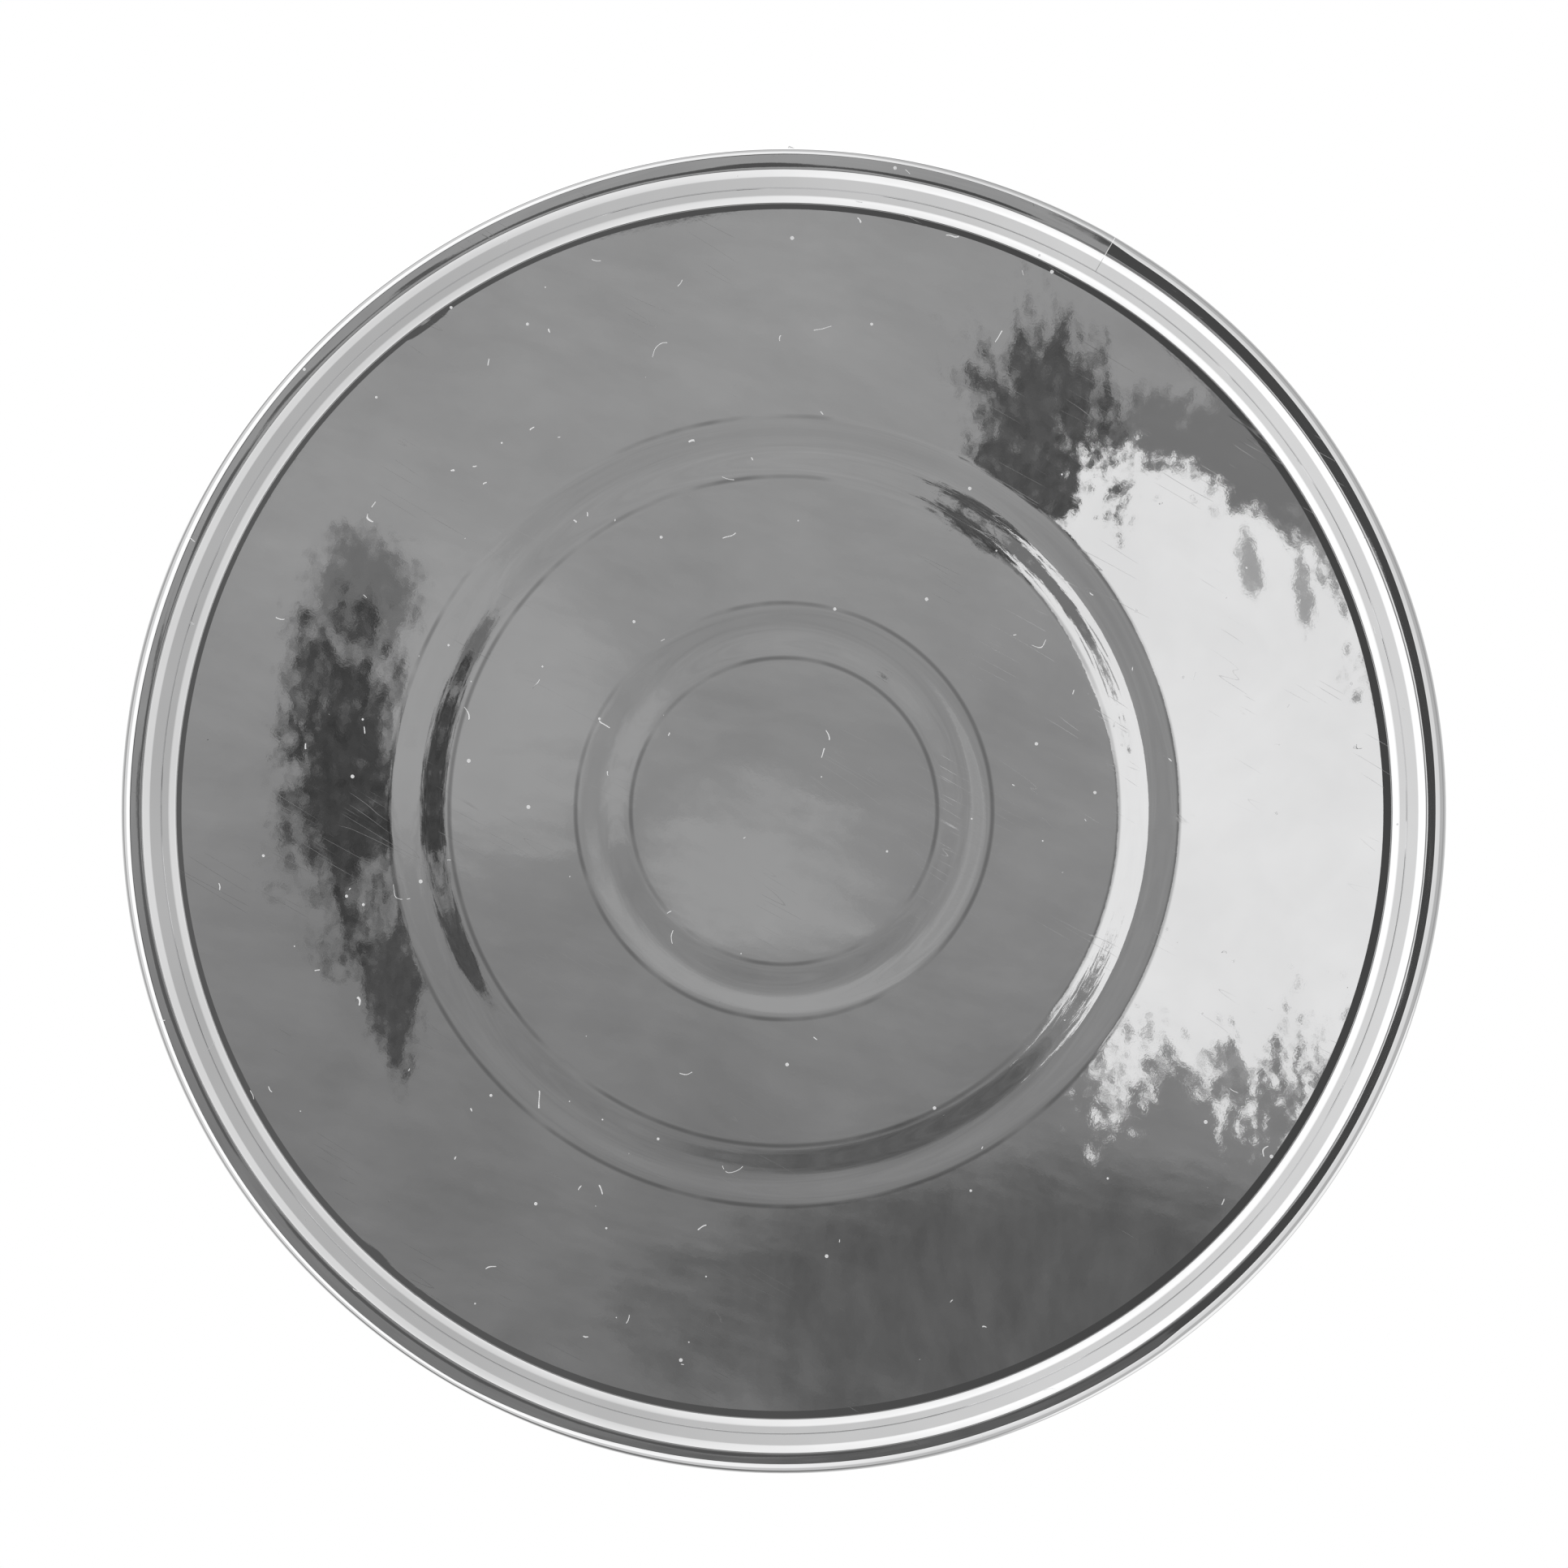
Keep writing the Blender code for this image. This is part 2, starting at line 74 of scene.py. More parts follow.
# Finer shapes that the frame doesn't have. A slope is in degrees, downward as the radius grows
CHANNEL_SLOPES = (1.25, 1.7)  # steepest slope of each channel
CHANNEL_STEP, DISC_STEP, SLOPE_STEP = 0.0006, 0.0020, 0.0001
DISC_EDGE = ((0.1256, -0.8), (0.1259, 10.5), (0.1266, 21), (0.1274, 31), (0.1277, 41),
             (BASE_FOOT_RADIUS, 49))
BAND_LIP = ((0.12885, 47), (0.1302, 46), (0.1308, 29), (0.1316, 20), (0.1320, 11.5),
            (0.13225, 1), (FOOT_INNER, 0))
CURL_WIDTHS = ((0, 2.55), (30, 2.15), (58, 1.95), (60.5, 1.45), (90, 1.35), (115, 1.7),
               (160, 2.25), (205, 1.75), (240, 1.35), (256, 2.2), (290, 2.4), (305, 2.2),
               (307, 2.5), (360, 2.55))  # picture azimuth, and millimetres
CURL_TURNS = (0, 3, 6, 10, 15, 20, 26, 32, 40, 50, 60, 70, 80, 90)  # degrees round the bend
WALL_HEIGHTS = (0.02, 0.03, 0.04, 0.05, 0.06)
# Height, picture azimuth, radius and width of each nick in the disc's edge
EDGE_NICKS = ((0.00002, 126.3, 0.1250, 0.0005), (0.00010, 228.0, 0.1247, 0.0007))
RING_STEPS, CURVE_STEPS, PIN_STEPS, RIVET_STEPS = 288, 32, 32, 28

# The clasp. X places are along the split's tangent, and ENDS are the X of a plate's two ends
CLASP_HEIGHT = 0.0400
TONGUE_INNER, TONGUE_SHEET = 0.1326, 0.0004
TONGUE_ENDS, TONGUE_LOW, TONGUE_HIGH = (-0.0340, 0.0055), 0.0100, 0.0600
PLATE_SHEET = 0.0008
BRACKET_INNER, BRACKET_ENDS, BRACKET_HALF_HEIGHT = 0.1333, (-0.0345, -0.0070), 0.0110
EAR_RADIUS, EAR_INSIDE, EAR_OUTSIDE = 0.0027, 0.0068, 0.0076
CATCH_INNER, CATCH_ENDS, CATCH_HALF_HEIGHT = 0.1326, (0.0080, 0.0350), 0.0080
HOOK_FACE, HOOK_OUTER, HOOK_BEND, HOOK_HALF_HEIGHT = 0.0030, 0.14037, 0.0009, 0.0040
HOOK_TIP = ((0.0004, 0.0), (0.0009, 0.0001), (0.0014, 0.0003))  # along, and down from the top
PIVOT_RADIUS_FROM_AXIS, PIVOT_X = 0.1368, -0.0120
PIN_PROFILE = ((0.00125, 0.0079), (0.0021, 0.0079), (0.0021, 0.0083), (0.00195, 0.0085),
               (0.0013, 0.0086), (0.0, 0.0086))  # radius, and height over the pin's middle
CRANK, CRANK_ANGLE = 0.0042, math.radians(172.0)
LEVER_INNER, LEVER_OUTER = 0.1390, 0.1397
LEVER_START, LEVER_LENGTH, LEVER_STEPS = 0.0028, 0.0600, 64
LEVER_TIP_LENGTH, LEVER_TIP_RISE = 0.0115, 0.00256
LEVER_HALF_HEIGHT, LEVER_SHEET = 0.0065, 0.0008
LEVER_NOSE, LEVER_FLANGE_LENGTH = 0.0022, 0.0430  # the nose is the flange's radius round the pin
LEVER_FLANGE_EDGE = ((0.0430, 0.1382), (0.0380, 0.1374), (0.0330, 0.1368), (0.0265, 0.1359),
                     (0.0200, 0.1352), (0.0140, 0.1348), (0.0085, 0.1346))
BAIL_WIRE, BAIL_HALF_HEIGHT, BAIL_CORNER, BAIL_STEPS = 0.0011, 0.0102, 0.0026, 20
BAR_RADIUS_FROM_AXIS, BAR_X = 0.1348, 0.0145
RIVET_SHANK, RIVET_HEAD, RIVET_LIFT, RIVET_DOME = 0.0012, 0.0021, 0.00015, 0.0009
RIVET_TURNS = (0.0, 0.25, 0.5, 0.8, 1.1, 1.35)  # radians up the dome
RIVETS = {"bracket": ((-0.0300, 0.0088), (-0.0300, -0.0088), (-0.0230, 0.0088), (-0.0230, -0.0088)),
          "catch": ((0.0225, 0.0050), (0.0225, -0.0050), (0.0300, 0.0050), (0.0300, -0.0050))}

# The camera looks straight up at the underside, turned so that the split is at the upper right
CAMERA_DISTANCE = 0.85
FIELD_WIDTH = 0.3224
SENSOR = 36.0
IMAGE_RIGHT = Vector((math.cos(math.radians(-30)), math.sin(math.radians(-30)), 0.0))
IMAGE_UP = Vector((math.cos(math.radians(-120)), math.sin(math.radians(-120)), 0.0))
FRAME_DROP = 0.0173  # how far below the frame's middle the pan sits, as a share of its width
SOFTBOX_FLECKS = (((0.70, 0.365), (0.015, 0.040)), ((0.78, 0.34), (0.018, 0.06)),
                  ((0.67, -0.40), (0.03, 0.05)))  # place and size, as in lower_set


def picture_azimuth(x, y):
    """The azimuth of a place as the camera sees it, from right, turning towards up."""
    place = Vector((x, y, 0.0))
    return math.degrees(math.atan2(place.dot(IMAGE_UP), place.dot(IMAGE_RIGHT))) % 360


# Node helpers
class Nodes:
    """Short calls for building a node tree."""

    def __init__(self, tree):
        self.tree = tree
        tree.nodes.clear()

    def add(self, kind, **settings):
        node = self.tree.nodes.new(kind)
        for key, value in settings.items():
            setattr(node, key, value)
        return node

    def link(self, value, socket):
        if isinstance(value, bpy.types.NodeSocket):
            self.tree.links.new(value, socket)
        elif value is not None:
            socket.default_value = value

    def math(self, operation, a, b=None):
        node = self.add("ShaderNodeMath", operation=operation)
        for value, socket in zip((a, b), node.inputs):
            self.link(value, socket)
        return node.outputs[0]

    def plus(self, a, b):
        return self.math("ADD", a, b)

    def minus(self, a, b):
        return self.math("SUBTRACT", a, b)

    def times(self, a, b):
        return self.math("MULTIPLY", a, b)

    def over(self, a, b):
        return self.math("DIVIDE", a, b)

    def step(self, value, low, high, out_low=0.0, out_high=1.0):
        """A smooth rise from out_low to out_high as value goes from low to high."""
        node = self.add("ShaderNodeMapRange", interpolation_type="SMOOTHSTEP")
        for socket, given in zip(node.inputs, (value, low, high, out_low, out_high)):
            self.link(given, socket)
        return node.outputs[0]

    def dot(self, a, b):
        node = self.add("ShaderNodeVectorMath", operation="DOT_PRODUCT")
        self.link(a, node.inputs[0])
        self.link(b, node.inputs[1])
        return node.outputs["Value"]

    def xyz(self, x, y, z):
        node = self.add("ShaderNodeCombineXYZ")
        for value, socket in zip((x, y, z), node.inputs):
            self.link(value, socket)
        return node.outputs[0]

    def noise(self, vector, scale, detail=2.0, roughness=0.5, distortion=0.0):
        node = self.add("ShaderNodeTexNoise")
        self.link(vector, node.inputs["Vector"])
        node.inputs["Scale"].default_value = scale
        node.inputs["Detail"].default_value = detail
        node.inputs["Roughness"].default_value = roughness
        node.inputs["Distortion"].default_value = distortion
        return node.outputs["Fac"]

    def wobble(self, *noise_settings):
        """Noise that swings about zero."""
        return self.minus(self.noise(*noise_settings), 0.5)

    def mix(self, factor, a, b):
        """A blend of two numbers."""
        node = self.add("ShaderNodeMix", data_type="FLOAT")
        self.link(factor, node.inputs["Factor"])
        self.link(a, node.inputs["A"])
        self.link(b, node.inputs["B"])
        return node.outputs["Result"]


# Studio
def blob(n, x, y, at, size, warp, amount, edge):
    """1 inside an ellipse, 0 outside, with an edge that is amount times warp rough."""
    dx = n.over(n.minus(x, at[0]), size[0])
    dy = n.over(n.minus(y, at[1]), size[1])
    away = n.plus(n.times(dx, dx), n.times(dy, dy))
    return n.step(n.plus(away, n.times(warp, amount)), 1.0 - edge, 1.0 + edge, 1.0, 0.0)


def lower_set(n, direction):
    """What the pan's underside mirrors: a grey set, a softbox, a dark surround and white walls.

    x and y say where a level mirror at the underside shows a direction to the camera. They run
    right and up from the pan's middle, in shares of the bead's radius, and so does every place
    and size below.
    """
    to_mirror = CAMERA_DISTANCE / BEAD_OUTER
    rightward = n.dot(direction, tuple(IMAGE_RIGHT))
    upward = n.dot(direction, tuple(IMAGE_UP))
    down = n.math("MAXIMUM", n.dot(direction, (0.0, 0.0, -1.0)), 0.02)
    x = n.times(n.over(rightward, down), to_mirror)
    y = n.times(n.over(upward, down), to_mirror)
    out = n.math("SQRT", n.plus(n.times(x, x), n.times(y, y)))
    turn = n.math("DEGREES", n.math("ARCTAN2", y, x))
    place = n.xyz(x, y, 0.0)

    broad = n.wobble(place, 2.1, 3.0, 0.55)
    ragged = n.wobble(place, 8.0, 10.0, 0.72, 0.6)
    streaks = n.wobble(n.xyz(n.times(x, 2.6), y, 0.0), 7.0, 9.0, 0.74)
    bristle = n.wobble(n.xyz(n.times(x, 2.2), y, 0.0), 26.0, 6.0, 0.8)
    across = n.minus(x, n.times(y, 0.35))
    along = n.plus(n.times(x, 0.5), n.times(y, 1.6))
    brushed = n.wobble(n.xyz(across, n.times(along, 2.2), 1.0), 5.0, 9.0, 0.75)
    warp = n.plus(n.times(ragged, 1.6), n.times(streaks, 1.6))
    warp = n.plus(warp, n.times(bristle, 2.3))

    # The grey set: lighter at the top, darker low down on the right, and cloudy all over
    clouds = n.plus(n.times(broad, 0.13), n.times(brushed, 0.11))
    grey = n.plus(n.step(y, -0.9, 0.8, 0.19, 0.315), clouds)
    dim = blob(n, x, y, (0.34, -0.76), (0.50, 0.22), brushed, 2.4, 0.65)
    grey = n.mix(dim, grey, n.plus(0.112, n.times(streaks, 0.12)))
    swirl = blob(n, x, y, (-0.05, -0.10), (0.17, 0.12), brushed, 6.0, 0.9)
    grey = n.mix(n.times(swirl, 0.8), grey, 0.36)
    haze = blob(n, x, y, (-0.45, 0.16), (0.17, 0.22), brushed, 6.0, 0.8)
    grey = n.mix(n.times(haze, 0.6), grey, 0.38)

    # A feathered dark patch on the left, and one at the upper right beside a thinner veil
    patch = blob(n, x, y, (-0.655, 0.05), (0.105, 0.23), warp, 2.1, 0.65)
    tail = blob(n, x, y, (-0.585, -0.27), (0.06, 0.12), warp, 2.3, 0.60)
    wisp = blob(n, x, y, (-0.63, 0.30), (0.075, 0.10), warp, 2.5, 0.65)
    feathers = n.math("MAXIMUM", n.times(tail, 0.85), n.times(wisp, 0.6))
    dark = n.times(n.math("MAXIMUM", patch, feathers), 0.95)
    grey = n.mix(dark, grey, n.plus(0.045, n.times(bristle, 0.16)))
    veil = blob(n, x, y, (0.62, 0.52), (0.26, 0.13), warp, 2.0, 0.25)
    grey = n.mix(n.times(veil, 0.7), grey, 0.13)
    shade = blob(n, x, y, (0.38, 0.58), (0.12, 0.16), warp, 2.2, 0.55)
    grey = n.mix(n.times(shade, 0.92), grey, n.plus(0.07, n.times(bristle, 0.20)))

    # The softbox: a quarter of the ring on the right, with ragged ends and a few flecks in it
    upper = n.minus(n.step(out, 0.74, 0.93, 46.0, 20.0), turn)
    lower = n.plus(turn, n.step(out, 0.62, 0.90, 37.0, 27.0))
    ends = n.over(n.math("MINIMUM", upper, lower), 17.0)
    inner = n.over(n.minus(out, 0.575), 0.05)
    inside = n.math("MINIMUM", ends, n.plus(inner, n.times(ends, 0.1)))
    rough = n.times(warp, n.step(inner, 0.0, 1.5, 0.30, 1.40))
    box = n.step(n.plus(inside, rough), -0.05, 0.05)
    for at, size in SOFTBOX_FLECKS:
        fleck = blob(n, x, y, at, size, warp, 2.5, 0.2)
        box = n.mix(n.times(fleck, 0.85), box, 0.0)
    grey = n.mix(box, grey, n.plus(0.80, n.times(ragged, 0.10)))

    # Round the set: a dark surround, then white walls, then a softer grey towards the horizon
    surround = n.step(out, 0.918, 0.94)
    low = n.mix(surround, grey, n.step(x, -1.0, 1.0, 0.10, 0.06))
    walls = n.step(x, -3.0, 3.0, 1.10, 0.72)
    low = n.mix(n.step(out, 1.20, 1.42), low, walls)
    from_below = n.math("ARCTANGENT", n.over(out, to_mirror))
    horizon = n.step(from_below, math.radians(48), math.radians(60))
    return n.mix(horizon, low, n.step(rightward, -0.8, 0.8, 0.70, 0.46))


def upper_room(n, direction, height):
    """A soft room with a broad lamp, a light strip and a dark side, for the views from above."""

    def towards(x, y, z, low, high):
        facing = Vector((x, y, z)).normalized()
        return n.step(n.dot(direction, tuple(facing)), low, high)

    light = n.step(height, 0.0, 0.9, 0.34, 0.62)
    light = n.mix(towards(-0.55, -0.45, 0.7, 0.80, 0.90), light, 1.25)
    light = n.mix(towards(0.9, 0.2, 0.35, 0.88, 0.93), light, 0.95)
    return n.mix(n.times(towards(0.2, 1.0, 0.12, 0.80, 0.97), 0.75), light, 0.10)


def build_world():
    world = bpy.data.worlds.new("studio")
    bpy.context.scene.world = world
    world.use_nodes = True
    n = Nodes(world.node_tree)
    direction = n.add("ShaderNodeTexCoord").outputs["Generated"]
    height = n.dot(direction, (0.0, 0.0, 1.0))
    room = upper_room(n, direction, height)
    light = n.mix(n.step(height, -0.02, 0.02), lower_set(n, direction), room)

    # The camera itself sees plain white behind the pan
    seen = n.add("ShaderNodeLightPath").outputs["Is Camera Ray"]
    background = n.add("ShaderNodeBackground")
    n.link(n.mix(seen, light, 1.0), background.inputs["Color"])
    n.link(background.outputs[0], n.add("ShaderNodeOutputWorld").inputs["Surface"])


def build_floor():
    """A plain pale floor, seen from above only, so that it doesn't hide the set from the pan."""
    mesh = bpy.data.meshes.new("floor")
    half, below = 4.0, 0.0003
    corners = [(-half, -half, 0), (half, -half, 0), (half, half, 0), (-half, half, 0)]
    mesh.from_pydata(corners, [], [(0, 1, 2, 3)])
    floor = bpy.data.objects.new("floor", mesh)
    floor.location.z = CAD_BOX[0].z - below
    bpy.context.scene.collection.objects.link(floor)
    floor.visible_glossy = False
    floor.visible_shadow = False
    made = bpy.data.materials.new("floor_paint")
    made.use_nodes = True
    n = Nodes(made.node_tree)
    shader = n.add("ShaderNodeBsdfPrincipled")
    shader.inputs["Base Color"].default_value = (0.82, 0.82, 0.815, 1.0)
    shader.inputs["Roughness"].default_value = 0.85
    shader.inputs["Specular IOR Level"].default_value = 0.2
    from_above = n.add("ShaderNodeMixShader")
    n.link(n.add("ShaderNodeNewGeometry").outputs["Backfacing"], from_above.inputs[0])
    n.link(shader.outputs[0], from_above.inputs[1])
    n.link(n.add("ShaderNodeBsdfTransparent").outputs[0], from_above.inputs[2])
    n.link(from_above.outputs[0], n.add("ShaderNodeOutputMaterial").inputs["Surface"])
    mesh.materials.append(made)


def build_camera():
    camera = bpy.data.cameras.new("camera")
    camera.sensor_width = SENSOR
    camera.lens = SENSOR * CAMERA_DISTANCE / FIELD_WIDTH
    camera.shift_y = FRAME_DROP
    camera.clip_start = 0.01
    obj = bpy.data.objects.new("camera", camera)
    turn = Matrix((IMAGE_RIGHT, IMAGE_UP, Vector((0, 0, -1)))).transposed()
    obj.matrix_world = Matrix.Translation((0, 0, -CAMERA_DISTANCE)) @ turn.to_4x4()
    bpy.context.scene.collection.objects.link(obj)
    bpy.context.scene.camera = obj


def build_lamp():
    light = bpy.data.lights.new("key", "AREA")
    light.energy, light.size = 7.0, 0.9
    obj = bpy.data.objects.new("key", light)
    obj.location = (-0.7, -0.6, 1.1)
    obj.rotation_euler = (-obj.location).to_track_quat("-Z", "Y").to_euler()
    obj.visible_glossy = False
    bpy.context.scene.collection.objects.link(obj)


# Materials
def metal(name, tint, roughness, peel, grain, brushed=0.0, specks=0.0, scratches=0.5, painted_shade_radii=()):
    """Plated metal: orange peel, fine grain, scratches and a little dust.

    peel, grain and brushed are heights in metres, specks and scratches are strengths, and
    the last argument lists the radii of pressed edges, where darker lines are painted in as shade.
    """
    made = bpy.data.materials.new(name)
    made.use_nodes = True
    n = Nodes(made.node_tree)
    where = n.add("ShaderNodeTexCoord").outputs["Object"]
    stained = n.noise(where, 22.0, 4.0, 0.6)
    shader = n.add("ShaderNodeBsdfPrincipled")
    shader.inputs["Metallic"].default_value = 1.0

    # Scratches: thin lines where a stretched noise crosses its middle value
    lines = 0.0
    for turn, stretch in ((0.4, 18.0), (1.7, 11.0), (2.6, 14.0)):
        mapping = n.add("ShaderNodeMapping")
        n.link(where, mapping.inputs["Vector"])
        mapping.inputs["Rotation"].default_value = (0.0, 0.0, turn)
        mapping.inputs["Scale"].default_value = (stretch, 260.0, stretch)
        off_middle = n.math("ABSOLUTE", n.wobble(mapping.outputs[0], 1.0, 1.0, 0.4))
        line = n.step(off_middle, 0.0, 0.004, 1.0, 0.0)
        here = n.step(n.noise(where, 31.0 + 9.0 * turn, 2.0, 0.5), 0.60, 0.70)
        lines = n.math("MAXIMUM", n.times(line, here), lines)

    # Dust: small round specks in some cells, and a few longer flecks
    cells = n.add("ShaderNodeTexVoronoi", feature="F1")
    n.link(where, cells.inputs["Vector"])
    cells.inputs["Scale"].default_value = 260.0
    pick = n.add("ShaderNodeSeparateColor")
    n.link(cells.outputs["Color"], pick.inputs[0])
    radius = n.step(pick.outputs[0], 0.80, 1.0, 0.035, 0.105)
    dust = n.step(n.minus(cells.outputs["Distance"], radius), -0.02, 0.0, 1.0, 0.0)
    dust = n.times(dust, n.step(pick.outputs[0], 0.80, 0.805))
    off_middle = n.math("ABSOLUTE", n.wobble(where, 120.0, 1.0, 0.4))
    curl = n.step(off_middle, 0.0, 0.006, 1.0, 0.0)
    lint = n.times(curl, n.step(n.noise(where, 190.0, 0.0, 0.5, 0.8), 0.765, 0.785))
    dust = n.times(n.math("MAXIMUM", dust, lint), specks)

    value = n.mix(n.step(stained, 0.35, 0.7), tint * 0.97, min(1.0, tint * 1.03))
    # Painted shade: darker lines along the pressed edges stand in for dark reflections there, and
    # noise breaks them up
    if painted_shade_radii:
        flat = n.add("ShaderNodeVectorMath", operation="MULTIPLY")
        n.link(where, flat.inputs[0])
        flat.inputs[1].default_value = (1.0, 1.0, 0.0)
        length = n.add("ShaderNodeVectorMath", operation="LENGTH")
        n.link(flat.outputs[0], length.inputs[0])
        shade_breakup = n.step(n.noise(where, 17.0, 4.0, 0.65), 0.40, 0.56)
        for crease in painted_shade_radii:
            off = n.math("ABSOLUTE", n.minus(length.outputs["Value"], crease))
            painted_dark_line = n.times(n.step(off, 0.0001, 0.0007, 0.55, 0.0), shade_breakup)
            value = n.mix(painted_dark_line, value, 0.25)
    value = n.mix(dust, value, 0.9)
    colour = n.add("ShaderNodeCombineColor")
    for socket, scale in zip(colour.inputs, (1.0, 1.0, 1.004)):
        n.link(n.times(value, scale), socket)
    n.link(colour.outputs[0], shader.inputs["Base Color"])
    rough = n.mix(n.step(stained, 0.3, 0.75), roughness * 0.8, roughness * 1.25)
    rough = n.plus(rough, n.times(lines, 0.22 * scratches))
    n.link(n.plus(rough, n.times(dust, 0.8)), shader.inputs["Roughness"])

    # Relief: peel is broad, grain is fine
    relief = n.times(n.noise(where, 330.0, 3.0, 0.6), peel)
    relief = n.plus(relief, n.times(n.noise(where, 900.0, 3.0, 0.70), grain))
    relief = n.minus(relief, n.times(lines, 0.0000012 * scratches))
    relief = n.plus(relief, n.times(dust, 0.00002))
    if brushed:
        mapping = n.add("ShaderNodeMapping")
        n.link(where, mapping.inputs["Vector"])
        mapping.inputs["Scale"].default_value = (60.0, 60.0, 4200.0)
        relief = n.plus(relief, n.times(n.noise(mapping.outputs[0], 1.0, 3.0, 0.6), brushed))
    bump = n.add("ShaderNodeBump")
    bump.inputs["Strength"].default_value = 1.0
    bump.inputs["Distance"].default_value = 1.0
    n.link(relief, bump.inputs["Height"])
    n.link(bump.outputs[0], shader.inputs["Normal"])
    n.link(shader.outputs[0], n.add("ShaderNodeOutputMaterial").inputs["Surface"])
    return made


# Shapes
def finished(bm, name, material):
    """An object made of the bmesh, with sharp edges where it turns by over 35 degrees."""
    bmesh.ops.remove_doubles(bm, verts=bm.verts, dist=1e-7)
    bmesh.ops.recalc_face_normals(bm, faces=bm.faces)
    mesh = bpy.data.meshes.new(name)
    bm.to_mesh(mesh)
    bm.free()
    mesh.shade_smooth()
    mesh.set_sharp_from_angle(angle=math.radians(35))
    mesh.materials.append(material)
    obj = bpy.data.objects.new(name, mesh)
    bpy.context.scene.collection.objects.link(obj)
    return obj


def arc(centre, radius, start_deg, stop_deg, steps):
    points = []
    for i in range(steps + 1):
        angle = math.radians(start_deg + (stop_deg - start_deg) * i / steps)
        x, y = radius * math.cos(angle), radius * math.sin(angle)
        points.append((centre[0] + x, centre[1] + y))
    return points


def offset_path(path, distance):
    """The path moved to its left, with its corners kept apart by the same distance."""
    points = [Vector(p) for p in path]
    sides = []
    for a, b in zip(points, points[1:]):
        along = (b - a).normalized()
        sides.append(Vector((-along.y, along.x)))
    moved = [points[0] + sides[0] * distance]
    for i in range(1, len(points) - 1):
        both = (sides[i - 1] + sides[i]).normalized()
        moved.append(points[i] + both * (distance / max(0.5, both.dot(sides[i]))))
    moved.append(points[-1] + sides[-1] * distance)
    return [tuple(p) for p in moved]


def sheet_outline(path, thickness):
    return offset_path(path, thickness / 2) + offset_path(path, -thickness / 2)[::-1]


def turned(name, outline, material, start=0.0, sweep=2 * math.pi, steps=RING_STEPS, warp=None):
    """A closed (radius, height) outline turned about the pan's axis.

    The outline may be a function of the turn, and warp moves each point a little.
    """
    bm = bmesh.new()
    full = abs(sweep - 2 * math.pi) < 1e-9
    rings = []
    for i in range(steps if full else steps + 1):
        angle = start + sweep * i / steps
        turn = Matrix.Rotation(angle, 3, "Z")
        ring = []
        profile = outline(angle) if callable(outline) else outline
        for r, z in profile:
            point = turn @ Vector((r, 0.0, z))
            ring.append(bm.verts.new(warp(point, r) if warp else point))
        rings.append(ring)
    count = len(profile)
    for i in range(steps):
        a, b = rings[i], rings[(i + 1) % len(rings)]
        for j in range(count):
            k = (j + 1) % count
            if profile[j][0] > 1e-9 or profile[k][0] > 1e-9:
                bm.faces.new((a[j], a[k], b[k], b[j]))
    if not full:
        bm.faces.new(rings[0])
        bm.faces.new(rings[-1][::-1])
    return finished(bm, name, material)


def from_slopes(start, stops):
    """A smooth path whose downward slope goes through the given (radius, degrees) stops."""
    radius, height = start
    path = [start]
    while radius < stops[-1][0] - 1e-9:
        radius = min(radius + SLOPE_STEP, stops[-1][0])
        middle = radius - SLOPE_STEP / 2
        for (r0, a0), (r1, a1) in zip(stops, stops[1:]):
            if r0 <= middle <= r1:
                share = (middle - r0) / (r1 - r0)
                share = share * share * (3 - 2 * share)
                height -= SLOPE_STEP * math.tan(math.radians(a0 + (a1 - a0) * share))
                break
        path.append((radius, height))
    return path


# The base
def channel_height(r, angle):
    """How far the pressed channels lift the disc. They are deepest at picture azimuth 10."""
    share = 0.70 + 0.30 * math.cos(math.radians(angle - 10.0))
    lift = 0.0
    for (middle, width), slope in zip(CHANNELS, CHANNEL_SLOPES):
        across = (r - middle) / width
        if abs(across) < 0.5:
            half_depth = math.tan(math.radians(slope)) * width / math.pi * 0.5
            lift += share * half_depth * (1 + math.cos(2 * math.pi * across))
    return lift


def base_path(angle):
    """The base's sheet from its middle to its flange, at a picture azimuth."""
    path = []
    radius = 0.0
    while radius < DISC_RADIUS - 1e-9:
        path.append((radius, DISC_HEIGHT + channel_height(radius, angle)))
        near = any(abs(radius - middle) < width * 0.55 for middle, width in CHANNELS)
        radius += CHANNEL_STEP if near else DISC_STEP
    # The last of the disc tips out a little, over a strip that is broadest at the lower right
    tips = 0.1242 - 0.0004 * math.cos(math.radians(angle + 35))
    stops = ((DISC_RADIUS, 0), (tips, 0), (tips + 0.0004, -0.7)) + DISC_EDGE
    path += from_slopes((DISC_RADIUS, DISC_HEIGHT), stops)
    height = path[-1][1]
    return path + [(BASE_FOOT_RADIUS + 0.0001, height), (FLANGE_RADIUS, height)]


def bump_at(point, azimuth, radius, width):
    """A round hump, 1 at a place given by its picture azimuth and radius."""
    angle = math.radians(azimuth)
    place = radius * (IMAGE_RIGHT * math.cos(angle) + IMAGE_UP * math.sin(angle))
    away = ((point.x - place.x) ** 2 + (point.y - place.y) ** 2) / width**2
    return math.exp(-away) if away < 20 else 0.0


def base_warp(point, r):
    """The disc isn't quite flat, and its edge has a nick or two."""
    lift = 0.00006 * noise.noise(point * 22.0) * min(1.0, r / 0.02)
    for height, angle, radius, width in EDGE_NICKS:
        lift += height * bump_at(point, angle, radius, width)
    return point + Vector((0, 0, lift if r < BASE_FOOT_RADIUS + 0.0001 else 0.0))


def build_base(material):
    def outline_at(turn):
        angle = picture_azimuth(math.cos(turn), math.sin(turn))
        return sheet_outline(base_path(angle), BASE_SHEET)

    base = turned("base_sheet", outline_at, material, warp=base_warp)
    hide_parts("base_plate")
    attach(base, "base")


